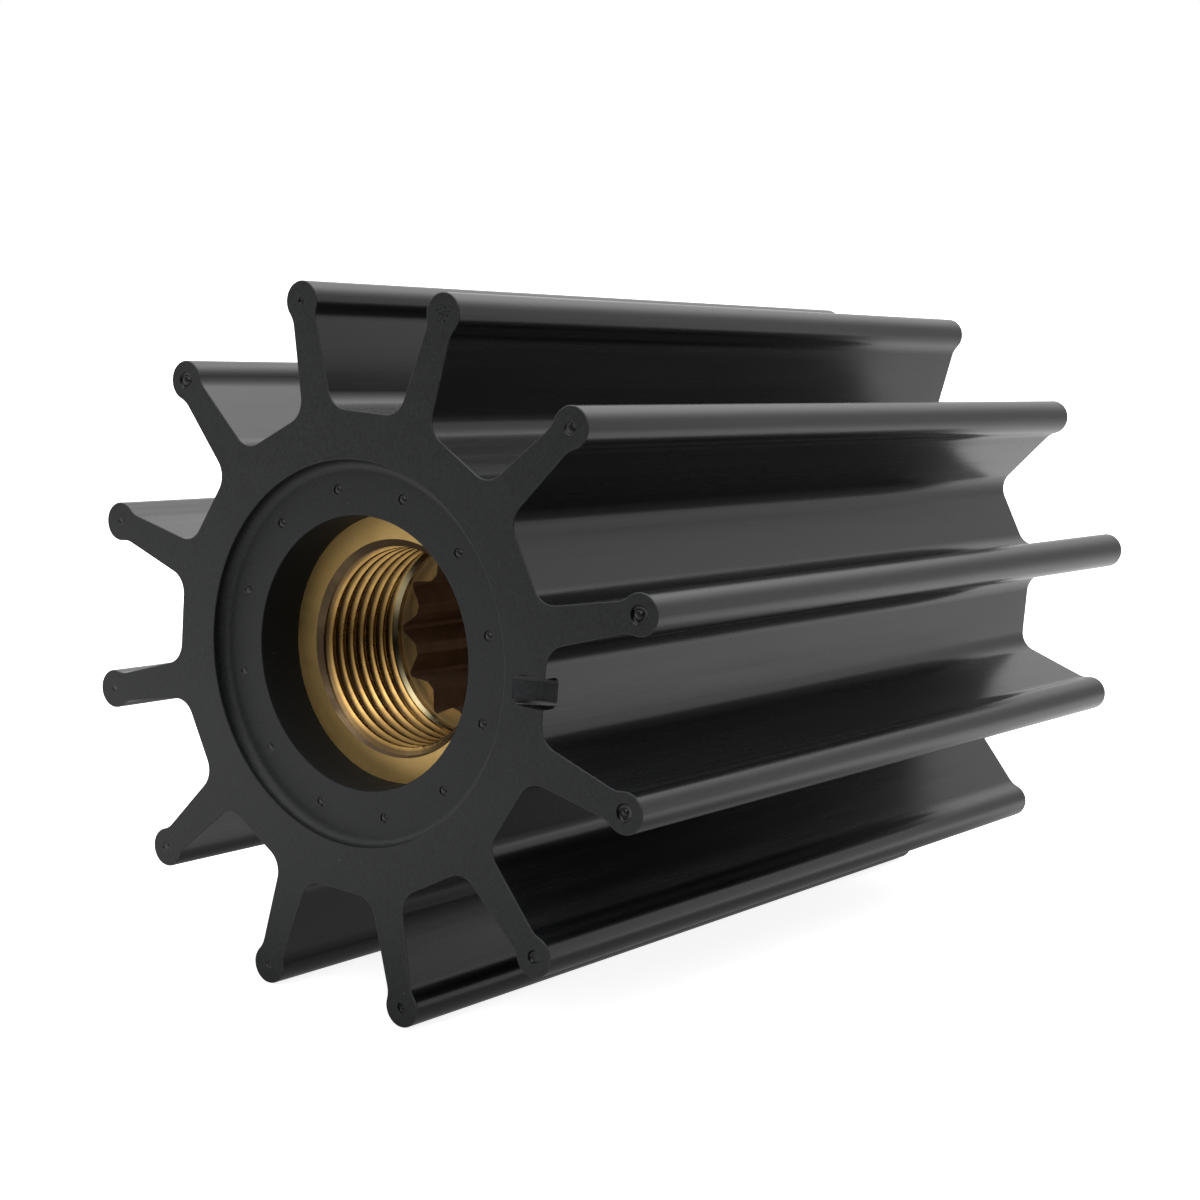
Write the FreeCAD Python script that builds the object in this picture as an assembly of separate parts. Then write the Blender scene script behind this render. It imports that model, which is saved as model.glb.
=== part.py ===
# Flexible impeller of a large raw-water pump: a twelve-vane rubber body moulded round a brass
# bush, which has a puller thread in its front end and a driving spline in the rest of its bore.
#
# Millimetres, +Z up. The origin is the middle of the impeller on its own axis. +Y runs along that
# axis from the front end, where the thread is, to the rear end. +X is to the right of someone who
# looks at the front end. The impeller lies on the beads of its two lowest vanes.

import FreeCAD, Part
import math
import os
from FreeCAD import Vector

# Rubber body: overall size and vanes
outer_diameter = 95.0
body_length = 130.0
vane_count = 12
bead_radius = 2.6
bead_neck_fillet = 3.0
vane_tip_thickness = 3.6
vane_root_thickness = 5.2
vane_root_fillet = 3.0
hub_flat_distance = 30.6

# Rubber body: both ends
recess_radius = 24.55
recess_depth = 1.8
recess_cove_radius = 1.4
entry_bore_radius = 17.5
rubber_lip_length = 6.9

# Rubber body: groove and moulding marks, on the front end only
groove_width = 3.8
groove_depth = 2.8
groove_inner_end_radius = 25.9
groove_height_above_axis = 0.15
pin_mark_circle_radius = 21.0
pin_mark_radius = 0.65
pin_mark_depth = 0.3
bead_mark_radius = 0.8
bead_mark_depth = 0.5

# Brass bush
bush_outer_radius = 19.0
thread_major_radius = 14.0
thread_crest_radius = 12.92
thread_mouth_clearance = 0.2
threaded_socket_length = 15.7
spline_tooth_count = 12
spline_valley_radius = 12.75
spline_tip_radius = 10.5
spline_valley_width = 0.6
spline_tip_width = 1.4
spline_turn_degrees = -2.2
rear_mouth_chamfer = 1.0

# Worked out from the sizes above
half_length = body_length / 2
vane_pitch = 2 * math.pi / vane_count
bead_circle_radius = outer_diameter / 2 - bead_radius
bush_face_depth = recess_depth + rubber_lip_length
bush_half_length = half_length - bush_face_depth
thread_mouth_radius = thread_major_radius + thread_mouth_clearance
cut_overrun = 1.0


def on_circle(radius, angle):
    """Point of the cross-section at this radius, its angle taken clockwise from the top."""
    return Vector(radius * math.sin(angle), 0, radius * math.cos(angle))


def turned(shape, angle):
    """Copy of the shape, turned clockwise about the axis as the front end is seen."""
    copy = shape.copy()
    copy.rotate(Vector(0, 0, 0), Vector(0, 1, 0), math.degrees(angle))
    return copy


def lathe(radius_and_y):
    """Solid of revolution about the axis, from (radius, y) corners joined by straight lines."""
    corners = [Vector(radius, y, 0) for radius, y in radius_and_y]
    outline = Part.makePolygon(corners + [corners[0]])
    return Part.Face(outline).revolve(Vector(0, 0, 0), Vector(0, 1, 0), 360)


def cylinder_along_axis(radius, y_start, y_end, centre=Vector(0, 0, 0)):
    """Cylinder that runs along Y, between two values of y, through this point of the section."""
    base = Vector(centre.x, y_start, centre.z)
    return Part.makeCylinder(radius, y_end - y_start, base, Vector(0, 1, 0))


def gap_half_outline():
    """Half of the outline of the gap above the top flat, from the flat's middle to a vane's crown.

    The flat is level, the vane leans half a pitch to the right, and two fillets join them to the
    bead. Returns the points that the lines and arcs of this half run through.
    """
    lean = vane_pitch / 2
    along = Vector(math.sin(lean), 0, math.cos(lean))
    across = Vector(-math.cos(lean), 0, math.sin(lean))
    bead_centre = along * bead_circle_radius

    # The flank runs from the flat to the bead, on the side of the vane that faces the gap
    flank_foot = along * hub_flat_distance + across * (vane_root_thickness / 2)
    flank_head = bead_centre + across * (vane_tip_thickness / 2)
    up_flank = (flank_head - flank_foot).normalize()
    off_flank = Vector(-up_flank.z, 0, up_flank.x)

    # The root fillet lies at its own radius from the flat and from the flank
    root_z = hub_flat_distance + vane_root_fillet
    beside_foot = vane_root_fillet - (root_z - flank_foot.z) * off_flank.z
    root_centre = Vector(flank_foot.x + beside_foot / off_flank.x, 0, root_z)
    root_on_flat = root_centre - Vector(0, 0, vane_root_fillet)
    root_on_flank = root_centre - off_flank * vane_root_fillet
    to_corner = (Vector(0, 0, -1) - off_flank).normalize()
    root_middle = root_centre + to_corner * vane_root_fillet

    # The neck fillet lies at its own radius from the flank and from the bead
    bead_up_flank = (bead_centre - flank_foot).dot(up_flank)
    bead_off_flank = (bead_centre - flank_foot).dot(off_flank)
    rise = bead_neck_fillet - bead_off_flank
    back = math.sqrt((bead_radius + bead_neck_fillet) ** 2 - rise ** 2)
    neck_centre = flank_foot + up_flank * (bead_up_flank - back) + off_flank * bead_neck_fillet
    to_bead = (bead_centre - neck_centre).normalize()
    neck_on_flank = neck_centre - off_flank * bead_neck_fillet
    neck_on_bead = neck_centre + to_bead * bead_neck_fillet
    neck_middle = neck_centre + (to_bead - off_flank).normalize() * bead_neck_fillet

    crown = bead_centre + along * bead_radius
    bead_middle = bead_centre + (along - to_bead).normalize() * bead_radius
    return {
        "flat": root_on_flat,
        "root": root_middle,
        "flank_low": root_on_flank,
        "flank_high": neck_on_flank,
        "neck": neck_middle,
        "bead_low": neck_on_bead,
        "bead": bead_middle,
        "crown": crown,
    }


def mirrored(point):
    """The same point on the left side of the gap."""
    return Vector(-point.x, point.y, point.z)


def vane_section():
    """Cross-section of the rubber, with its vanes and no bore."""
    right = gap_half_outline()
    left = {name: mirrored(point) for name, point in right.items()}
    one_gap = [
        Part.Arc(left["crown"], left["bead"], left["bead_low"]).toShape(),
        Part.Arc(left["bead_low"], left["neck"], left["flank_high"]).toShape(),
        Part.makeLine(left["flank_high"], left["flank_low"]),
        Part.Arc(left["flank_low"], left["root"], left["flat"]).toShape(),
        Part.makeLine(left["flat"], right["flat"]),
        Part.Arc(right["flat"], right["root"], right["flank_low"]).toShape(),
        Part.makeLine(right["flank_low"], right["flank_high"]),
        Part.Arc(right["flank_high"], right["neck"], right["bead_low"]).toShape(),
        Part.Arc(right["bead_low"], right["bead"], right["crown"]).toShape(),
    ]
    edges = []
    for index in range(vane_count):
        edges += [turned(edge, index * vane_pitch) for edge in one_gap]
    return Part.Face(Part.Wire(edges))


def end_void():
    """What is empty at the front end: the shallow recess with its cove, and the entry bore."""
    mouth = -half_length - cut_overrun
    floor = -half_length + recess_depth
    seat = -half_length + bush_face_depth
    cove_start = floor - recess_cove_radius
    cove_end_radius = recess_radius - recess_cove_radius
    bend = recess_cove_radius * math.sqrt(0.5)
    cove_middle = Vector(cove_end_radius + bend, cove_start + bend, 0)
    corners = [
        Vector(cove_end_radius, floor, 0),
        Vector(entry_bore_radius, floor, 0),
        Vector(entry_bore_radius, seat, 0),
        Vector(0, seat, 0),
        Vector(0, mouth, 0),
        Vector(recess_radius, mouth, 0),
        Vector(recess_radius, cove_start, 0),
    ]
    edges = Part.makePolygon(corners).Edges
    edges.append(Part.Arc(corners[-1], cove_middle, corners[0]).toShape())
    return Part.Face(Part.Wire(edges)).revolve(Vector(0, 0, 0), Vector(0, 1, 0), 360)


def front_groove():
    """Round-bottomed groove across the front face, from beside the recess out over the hub."""
    radius = groove_width / 2
    bottom = Vector(groove_inner_end_radius, -half_length + groove_depth - radius, groove_height_above_axis)
    reach = hub_flat_distance + cut_overrun - groove_inner_end_radius
    trough = Part.makeCylinder(radius, reach, bottom, Vector(1, 0, 0))
    corner = Vector(bottom.x, -half_length - cut_overrun, bottom.z - radius)
    return trough.fuse(Part.makeBox(reach, bottom.y - corner.y, groove_width, corner))


def cone_mark(centre, face_y, radius, depth):
    """Small conical pit that a mould pin leaves in a face that looks to the front."""
    tip_radius = radius / 3
    base = Vector(centre.x, face_y, centre.z)
    pit = Part.makeCone(radius, tip_radius, depth, base, Vector(0, 1, 0))
    return pit.fuse(cylinder_along_axis(radius, face_y - cut_overrun, face_y, centre))


def moulding_marks():
    """Pits in the front end of every bead, and in the recess floor below every vane."""
    marks = []
    for index in range(vane_count):
        angle = (index + 0.5) * vane_pitch
        bead = on_circle(bead_circle_radius, angle)
        floor = on_circle(pin_mark_circle_radius, angle)
        marks.append(cone_mark(bead, -half_length, bead_mark_radius, bead_mark_depth))
        marks.append(cone_mark(floor, -half_length + recess_depth, pin_mark_radius, pin_mark_depth))
    return marks


def rubber_body():
    """The rubber moulding: hub, vanes and beads in one piece, round the bush."""
    blank = vane_section().extrude(Vector(0, body_length, 0))
    blank.translate(Vector(0, -half_length, 0))
    front = end_void()
    rear = front.mirror(Vector(0, 0, 0), Vector(0, 1, 0))
    pocket = cylinder_along_axis(bush_outer_radius, -bush_half_length, bush_half_length)
    return blank.cut([front, rear, pocket, front_groove()] + moulding_marks())


def spline_void():
    """The splined bore, cut through the whole bush: valleys and tooth tips with straight flanks."""
    half_valley = math.asin(spline_valley_width / 2 / spline_valley_radius)
    half_tip = math.asin(spline_tip_width / 2 / spline_tip_radius)
    tooth_pitch = 2 * math.pi / spline_tooth_count
    corners = []
    for index in range(spline_tooth_count):
        valley = math.radians(spline_turn_degrees) + index * tooth_pitch
        tip = valley + tooth_pitch / 2
        corners.append(on_circle(spline_valley_radius, valley - half_valley))
        corners.append(on_circle(spline_valley_radius, valley + half_valley))
        corners.append(on_circle(spline_tip_radius, tip - half_tip))
        corners.append(on_circle(spline_tip_radius, tip + half_tip))
    section = Part.Face(Part.makePolygon(corners + [corners[0]]))
    section.translate(Vector(0, -bush_half_length - cut_overrun, 0))
    return section.extrude(Vector(0, 2 * (bush_half_length + cut_overrun), 0))


def brass_bush():
    """The turned and broached bush. The socket has the width of the thread's crests."""
    front = -bush_half_length
    rear = bush_half_length
    blank = cylinder_along_axis(bush_outer_radius, front, rear)
    mouth_depth = thread_mouth_radius - thread_crest_radius
    socket = lathe([
        (0, front - cut_overrun),
        (thread_mouth_radius, front - cut_overrun),
        (thread_mouth_radius, front),
        (thread_crest_radius, front + mouth_depth),
        (thread_crest_radius, front + threaded_socket_length),
        (0, front + threaded_socket_length),
    ])
    rear_mouth_radius = spline_valley_radius + rear_mouth_chamfer
    rear_lead = rear_mouth_radius - spline_tip_radius
    rear_mouth = lathe([
        (0, rear - rear_lead),
        (spline_tip_radius, rear - rear_lead),
        (rear_mouth_radius, rear),
        (rear_mouth_radius, rear + cut_overrun),
        (0, rear + cut_overrun),
    ])
    return blank.cut([spline_void(), socket, rear_mouth])


os.makedirs("parts", exist_ok=True)
for node, solid in (("rubber_body", rubber_body()), ("brass_bush", brass_bush())):
    print(node, "valid", solid.isValid(), "solids", len(solid.Solids), "volume", round(solid.Volume), "mm3")
    solid.exportStep("parts/" + node + ".step")
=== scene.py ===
# %% [markdown]
# # A flexible pump impeller, dressed from its measured model
#
# The object is the spare part at the heart of a raw-water pump: a black rubber moulding with twelve
# straight vanes, bonded round a brass bush. The measured model is loaded first and never changed.
# Two new pieces are then modelled over it, one for the rubber and one for the brass, because a
# render needs what a measured model leaves out: soft edges, mould marks, a real thread and finishes.

# %% Load the measured model and keep its box
import math
import random

import bmesh
import bpy
from mathutils import Matrix, Vector


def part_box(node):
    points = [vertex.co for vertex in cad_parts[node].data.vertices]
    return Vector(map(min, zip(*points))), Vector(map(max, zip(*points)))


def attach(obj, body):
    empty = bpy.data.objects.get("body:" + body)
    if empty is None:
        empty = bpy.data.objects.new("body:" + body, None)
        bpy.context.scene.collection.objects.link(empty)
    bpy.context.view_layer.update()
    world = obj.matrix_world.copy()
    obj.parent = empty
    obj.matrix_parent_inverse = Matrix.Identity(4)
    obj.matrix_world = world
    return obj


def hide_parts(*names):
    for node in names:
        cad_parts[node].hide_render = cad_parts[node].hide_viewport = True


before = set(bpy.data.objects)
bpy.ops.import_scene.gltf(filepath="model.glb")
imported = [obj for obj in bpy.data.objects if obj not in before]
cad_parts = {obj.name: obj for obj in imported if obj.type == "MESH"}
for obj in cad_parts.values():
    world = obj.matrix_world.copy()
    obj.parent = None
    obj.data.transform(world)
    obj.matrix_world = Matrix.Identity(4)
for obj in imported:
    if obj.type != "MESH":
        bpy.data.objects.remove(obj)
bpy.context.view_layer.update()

# %% [markdown]
# ## Sizes
#
# Everything is drawn in millimetres about the impeller's axis, which is Y, with the front end at
# negative Y. The large sizes are read from the loaded model, so that the new pieces land exactly on
# it. The small ones, such as the radius of an edge, are the designer's own and are named here or
# beside the piece that uses them. A depth is always counted from the front end.

# %% Sizes taken from the model, and the working unit
MM = 0.001
AXIS = Vector((0, 1, 0))
UP = Vector((0, 0, 1))
ACROSS = Vector((1, 0, 0))
rubber_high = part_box("rubber_body")[1] / MM
bush_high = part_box("brass_bush")[1] / MM
half_length = rubber_high.y
bush_half_length = bush_high.y
bush_radius = bush_high.x
vane_count = 12
vane_pitch = 2 * math.pi / vane_count
bead_radius = 2.6
bead_circle_radius = (rubber_high.x - bead_radius) / math.cos(vane_pitch / 2)
print("half length", round(half_length, 2), "bead circle", round(bead_circle_radius, 2))
print("bush half length", round(bush_half_length, 2), "bush radius", round(bush_radius, 2))

# %% [markdown]
# ## The camera
#
# The view looks into the threaded end from the right and a little above. Its place was found by
# fitting the edges of the model to the picture, so it is given as a point, a point that it looks at
# and a roll. The camera stands only two and a half lengths of the part away, so the far end looks a
# quarter smaller than the near one.

# %% Camera
def add_object(name, data):
    """Put an object of this data at the origin of the scene, unturned and unscaled."""
    made = bpy.data.objects.new(name, data)
    bpy.context.scene.collection.objects.link(made)
    return made


camera_place = Vector((185.04, -270.98, 49.44))
camera_target = Vector((18.98, -44.77, -0.34))
camera_roll = math.radians(4.09)
frame_pixels = 1200
focal_pixels = 2224.5
centre_shift = Vector((32.2, 66.5))

camera_data = bpy.data.cameras.new("camera")
camera_data.sensor_width = 36
camera_data.lens = focal_pixels / frame_pixels * camera_data.sensor_width
camera_data.shift_x = centre_shift.x / frame_pixels
camera_data.shift_y = centre_shift.y / frame_pixels
camera = add_object("camera", camera_data)
camera.location = camera_place * MM
aim = (camera_target - camera_place).to_track_quat("-Z", "Y").to_matrix()
camera.rotation_euler = (aim @ Matrix.Rotation(camera_roll, 3, "Z")).to_euler()
bpy.context.scene.camera = camera
print("lens", round(camera_data.lens, 1), "mm, distance", round(camera_place.length), "mm")

# %% [markdown]
# ## Shader nodes
#
# The floor, the room light and the finishes are all small networks of shader nodes. Each node has to
# be added, set and linked to earlier ones, and one helper does all three. What it is given for an
# input is linked when it is another node's output, and set as a plain value when it isn't.

# %% Node helpers
def node(tree, kind, inputs=None, **settings):
    """Add a shader node. Its inputs are given by name or place, as values or as sockets to link."""
    made = tree.nodes.new("ShaderNode" + kind)
    for name, value in settings.items():
        setattr(made, name, value)
    for name, value in (inputs or {}).items():
        if isinstance(value, bpy.types.NodeSocket):
            tree.links.new(value, made.inputs[name])
        else:
            made.inputs[name].default_value = value
    return made


def remap(tree, value, source, target):
    """Stretch a value from its source range to a target range, and clamp it."""
    return node(tree, "MapRange", {
        "Value": value, "From Min": source[0], "From Max": source[1],
        "To Min": target[0], "To Max": target[1],
    }).outputs["Result"]


def new_finish(name, constants):
    """Material whose constant values sit on the shader itself. Return it, its tree and its shader."""
    material = bpy.data.materials.new(name)
    material.use_nodes = True
    shader = material.node_tree.nodes["Principled BSDF"]
    for socket, value in constants.items():
        shader.inputs[socket].default_value = value
    return material, material.node_tree, shader


print("node helpers ready")

# %% [markdown]
# ## The studio
#
# A white table in a white room, as for a catalogue picture. Rubber is nearly black and satin, so
# what shows on it is the reflection of the room, and the room has to be drawn with care. It is dark,
# with a few soft glows in chosen directions: big ones overhead and high behind the object, dim ones
# low at its sides, and four small ones in front that light the bush. The camera itself sees plain
# white instead of the glows.

# %% Floor
floor_size = 120.0
floor_gap = 0.0001
floor_mesh = bpy.data.meshes.new("floor")
bm = bmesh.new()
bmesh.ops.create_grid(bm, x_segments=1, y_segments=1, size=floor_size / 2)
bmesh.ops.translate(bm, vec=(0, 0, -rubber_high.z * MM - floor_gap), verts=bm.verts)
bm.to_mesh(floor_mesh)
bm.free()
floor = add_object("floor", floor_mesh)
print("floor", floor_size, "m wide,", round(rubber_high.z * MM, 4), "m below the axis")

# %% [markdown]
# The table is seen in two ways. For the camera it is white paint that also glows, so that only a
# faint shadow is left under the part. For all other rays, and so in reflections, it is a glow alone,
# brightest in a ring round the part and nearly gone a short way towards the camera, as if the table
# ended there.

# %% Floor paint, white for the camera and brightest around the object for everything else
white = (1, 1, 1, 1)
# The glow is dim right under the part, a painted shadow, and brightest in the ring round it.
glow_steps = [(0.07, 0.28), (0.14, 1.22), (0.22, 1.22), (0.40, 0.93), (0.95, 0.75)]
camera_side = (0.7, -0.7, 0)
table_end = (0.05, 0.19)
table_end_glow = (1.0, 0.07)

floor_paint, tree, white_paint = new_finish("floor_paint", {
    "Base Color": (0.8, 0.8, 0.8, 1), "Roughness": 0.9, "Specular IOR Level": 0.0,
    "Emission Color": white, "Emission Strength": 0.88,
})
place = node(tree, "TexCoord").outputs["Object"]
distance = node(tree, "VectorMath", {0: place}, operation="LENGTH")
floor_glow = node(tree, "ValToRGB", {"Fac": distance.outputs["Value"]})
floor_glow.color_ramp.interpolation = "EASE"
while len(floor_glow.color_ramp.elements) < len(glow_steps):
    floor_glow.color_ramp.elements.new(0.5)
for element, (metres, brightness) in zip(floor_glow.color_ramp.elements, glow_steps):
    element.position = metres
    element.color = (brightness, brightness, brightness, 1)
towards_camera = node(tree, "VectorMath", {0: place, 1: camera_side}, operation="DOT_PRODUCT")
mirrored_floor = node(tree, "Emission", {
    "Color": floor_glow.outputs["Color"],
    "Strength": remap(tree, towards_camera.outputs["Value"], table_end, table_end_glow),
})
shown_floor = node(tree, "MixShader", {
    "Fac": node(tree, "LightPath").outputs["Is Camera Ray"],
    1: mirrored_floor.outputs["Emission"],
    2: white_paint.outputs["BSDF"],
})
tree.links.new(shown_floor.outputs["Shader"], tree.nodes["Material Output"].inputs["Surface"])
floor_mesh.materials.append(floor_paint)
print("floor paint with", len(glow_steps), "steps of glow")

# %% [markdown]
# A glow is brightest in its own direction and falls off on all sides. Its brightness is the strength
# times e to the power of sharpness times (c - 1), where c is the cosine of the angle from its middle.
# The power node gets the strength as a logarithm, so one exponential is enough for each glow.

# %% Room light made of soft glows, with no lamps
# azimuth from straight behind towards the right, elevation, both in degrees, sharpness, strength
glows = [
    (0, 89, 10, 1.24),
    (300, 70, 10, 2.82),
    (60, 70, 10, 1.75),
    (0, 48, 10, 1.72),
    (260, 24, 10, 1.42),
    (320, 2, 10, 1.34),
    (280, 2, 10, 0.36),
    (40, 2, 10, 0.79),
    (60, 24, 10, 0.32),
    (165, 44, 30, 2.10),
    (180, 30, 30, 1.50),
    (180, 10, 30, 1.30),
    (200, 50, 30, 0.55),
]
world = bpy.data.worlds.new("room")
bpy.context.scene.world = world
bpy.context.scene.view_settings.view_transform = "Standard"
world.use_nodes = True
tree = world.node_tree
tree.nodes.clear()
seen_direction = node(tree, "TexCoord").outputs["Generated"]
total = 0.0
for azimuth, elevation, sharpness, strength in glows:
    turn, lift = math.radians(azimuth), math.radians(elevation)
    middle = (math.sin(turn) * math.cos(lift), math.cos(turn) * math.cos(lift), math.sin(lift))
    closeness = node(tree, "VectorMath", {0: seen_direction, 1: middle}, operation="DOT_PRODUCT")
    power = node(tree, "Math", {
        0: closeness.outputs["Value"], 1: sharpness, 2: math.log(strength) - sharpness,
    }, operation="MULTIPLY_ADD")
    glow = node(tree, "Math", {0: power.outputs[0]}, operation="EXPONENT")
    total = node(tree, "Math", {0: total, 1: glow.outputs[0]}, operation="ADD").outputs[0]
shown_room = node(tree, "MixShader", {
    "Fac": node(tree, "LightPath").outputs["Is Camera Ray"],
    1: node(tree, "Background", {"Color": white, "Strength": total}).outputs["Background"],
    2: node(tree, "Background", {"Color": white, "Strength": 1.0}).outputs["Background"],
})
node(tree, "OutputWorld", {"Surface": shown_room.outputs["Shader"]})
print("glows", len(glows))

# %% [markdown]
# ## Drawing with a pen
#
# A section is easiest to draw as a person would with pencil and compasses: start at a point, rule a
# line to the next one, swing an arc about a centre. The line is an extruded vertex and the arc is a
# spun one. Both return the vertex that the pen has reached, so that the next stroke can start there.

# %% Pen helpers
ARC_STEP = math.radians(9)
WELD_DISTANCE = 0.001


def line_to(bm, pen, point):
    """Rule a line from the pen's vertex to a point."""
    pen = bmesh.ops.extrude_vert_indiv(bm, verts=[pen])["verts"][0]
    pen.co = point
    return pen


def rule_through(bm, points):
    """Rule lines from point to point, and return the first and the last vertex."""
    first = pen = bm.verts.new(points[0])
    for point in points[1:]:
        pen = line_to(bm, pen, point)
    return first, pen


def arc_to(bm, pen, centre, end, axis=AXIS):
    """Swing an arc about a centre, from the pen's vertex to the direction of the end point."""
    start, stop = pen.co - centre, end - centre
    turn = math.atan2(start.cross(stop).dot(axis), start.dot(stop))
    steps = max(2, round(abs(turn) / ARC_STEP))
    spun = bmesh.ops.spin(bm, geom=[pen], cent=centre, axis=axis, angle=turn, steps=steps)
    return next(item for item in spun["geom_last"] if isinstance(item, bmesh.types.BMVert))


def all_of(bm):
    """Everything that is drawn so far."""
    return bm.verts[:] + bm.edges[:] + bm.faces[:]


def weld(bm, distance=WELD_DISTANCE):
    """Merge vertices that lie on each other, and turn all faces outwards."""
    bmesh.ops.remove_doubles(bm, verts=bm.verts, dist=distance)
    bmesh.ops.recalc_face_normals(bm, faces=bm.faces)


print("a quarter circle is drawn with", round(math.pi / 2 / ARC_STEP), "edges")

# %% [markdown]
# ## Solid pieces and cuts
#
# The rubber is moulded in one go: a cavity makes the vanes, and core plugs make the recess, the
# groove and the small pits. The model follows that. A blank is drawn, then each plug is drawn as a
# closed body and taken away from it. A Boolean modifier does the taking away, and its result is
# stored at once, so that no helper object is left in the finished scene.

# %% Object helpers
LATHE_STEPS = 144


def solid_piece(name, bm, finishes):
    """Store the drawing as a mesh object that is still in millimetres."""
    mesh = bpy.data.meshes.new(name)
    bm.to_mesh(mesh)
    bm.free()
    for finish in finishes:
        mesh.materials.append(finish)
    return add_object(name, mesh)


def shape_now(piece):
    """Mesh of an object as it looks with its modifiers or its bevel."""
    bpy.context.view_layer.update()
    return bpy.data.meshes.new_from_object(piece.evaluated_get(bpy.context.evaluated_depsgraph_get()))


def take_away(piece, cutter):
    """Cut the cutter's volume out of the piece, and throw the cutter away."""
    modifier = piece.modifiers.new("cut", "BOOLEAN")
    modifier.operation = "DIFFERENCE"
    modifier.solver = "EXACT"
    modifier.object = cutter
    mesh = shape_now(piece)
    piece.modifiers.clear()
    piece.data = mesh
    bpy.data.objects.remove(cutter)
    if not mesh.polygons:
        raise ValueError("the cut left nothing of " + piece.name)


def lathe(bm, steps=LATHE_STEPS):
    """Turn the drawn outline once round the impeller's axis."""
    bmesh.ops.spin(
        bm, geom=all_of(bm), cent=(0, 0, 0), axis=AXIS, angle=2 * math.pi, steps=steps, use_merge=True,
    )
    weld(bm)


print("turned pieces have", LATHE_STEPS, "sides")

# %% [markdown]
# ## Finishes
#
# All finishes are procedural and use object coordinates, so that they need no pictures and keep
# their real size. Patterns that several finishes share are node groups. A group takes a scale and
# only hands out masks and heights. Each finish then decides for itself how fine a pattern is on it,
# and what it does to its colour, its gloss and its relief.

# %% Pattern helpers
def new_pattern(name):
    """Start a node group that takes a scale. Return its tree and the scale's socket."""
    tree = bpy.data.node_groups.new(name, "ShaderNodeTree")
    tree.interface.new_socket("Scale", in_out="INPUT", socket_type="NodeSocketFloat").default_value = 1.0
    return tree, tree.nodes.new("NodeGroupInput").outputs["Scale"]


def hand_out(tree, values):
    """Finish a node group: give it an output for each named value."""
    for name in values:
        tree.interface.new_socket(name, in_out="OUTPUT", socket_type="NodeSocketFloat")
    out = tree.nodes.new("NodeGroupOutput")
    for name, value in values.items():
        tree.links.new(value, out.inputs[name])
    print("pattern", tree.name, "gives", list(values))
    return tree


def scaled_position(tree, scale):
    """Object coordinates times the group's scale."""
    position = node(tree, "TexCoord").outputs["Object"]
    return node(tree, "VectorMath", {0: position, "Scale": scale}, operation="SCALE").outputs["Vector"]


def noise(tree, position, per_metre, detail, roughness, stretch=(1, 1, 1)):
    """Noise with about so many features to the metre, drawn out along an axis by a small factor."""
    stretched = node(tree, "Mapping", {"Vector": position, "Scale": stretch})
    return node(tree, "TexNoise", {
        "Vector": stretched.outputs["Vector"], "Scale": per_metre, "Detail": detail, "Roughness": roughness,
    }).outputs["Fac"]


print("pattern helpers ready")

# %% [markdown]
# ## Patterns of the rubber
#
# Rubber that was pressed against sparked or sawn steel has a fine even grain, in which single grains
# are under half a millimetre. The vanes were pressed against milled cores and show long faint streaks
# and a slow waviness instead. Both carry a little dust: specks near the middles of scattered cells,
# of which only a few are kept.

# %% Grain, streaks and dust
tree, scale = new_pattern("rubber_grain")
position = scaled_position(tree, scale)
speckle = noise(tree, position, per_metre=2500, detail=3.0, roughness=0.7)
cloud = noise(tree, position, per_metre=85, detail=4.0, roughness=0.6)
fine = noise(tree, position, per_metre=6500, detail=2.0, roughness=0.6)
height = node(tree, "Math", {0: speckle, 1: fine}, operation="ADD").outputs[0]
rubber_grain = hand_out(tree, {"Speckle": speckle, "Cloud": cloud, "Height": height})

tree, scale = new_pattern("mould_streaks")
position = scaled_position(tree, scale)
streak = noise(tree, position, per_metre=520, detail=4.0, roughness=0.65, stretch=(1, 0.035, 1))
wave = noise(tree, position, per_metre=48, detail=1.5, roughness=0.45, stretch=(1, 0.45, 1))
mould_streaks = hand_out(tree, {"Streak": streak, "Wave": wave})

tree, scale = new_pattern("dust")
specks = node(tree, "TexVoronoi", {"Vector": scaled_position(tree, scale), "Scale": 330.0})
near = remap(tree, specks.outputs["Distance"], (0.025, 0.05), (1.0, 0.0))
lot = node(tree, "SeparateColor", {"Color": specks.outputs["Color"]})
few = remap(tree, lot.outputs["Red"], (0.72, 0.95), (0.0, 1.0))
dust = hand_out(tree, {"Mask": node(tree, "Math", {0: near, 1: few}, operation="MULTIPLY").outputs[0]})

# %% [markdown]
# ## Rubber finishes
#
# Black rubber is nearly without colour, and most of what is seen on it is reflected light. The end
# faces are matt and grainy, the vanes are satin and the rims are a little greyer, where handling has
# worn them. The wall of the bore is dull and evenly grey. The vanes' waviness goes into the bump,
# because its slopes are far smaller than any facet.

# %% Material helpers
MIX_FACTOR, MIX_FIRST, MIX_SECOND, MIX_RESULT = 0, 6, 7, 2


def add_group(tree, group, scale):
    """Place a pattern in a material, at the scale that suits the finish."""
    made = tree.nodes.new("ShaderNodeGroup")
    made.node_tree = group
    made.inputs["Scale"].default_value = scale
    return made


def opaque(colour):
    """A colour with its alpha added. A socket stays as it is."""
    return colour if isinstance(colour, bpy.types.NodeSocket) else (*colour, 1)


def blend(tree, factor, first, second):
    """Colour between two, by a factor's socket. Each of the two is a colour or a socket."""
    mix = node(tree, "Mix", {
        MIX_FACTOR: factor, MIX_FIRST: opaque(first), MIX_SECOND: opaque(second),
    }, data_type="RGBA")
    return mix.outputs[MIX_RESULT]


def bump(tree, height, relief, below=None):
    """Relief whose height range is given in millimetres, on top of an earlier relief."""
    inputs = {"Strength": 1.0, "Distance": relief * MM, "Height": height}
    if below:
        inputs["Normal"] = below
    return node(tree, "Bump", inputs).outputs["Normal"]


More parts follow.
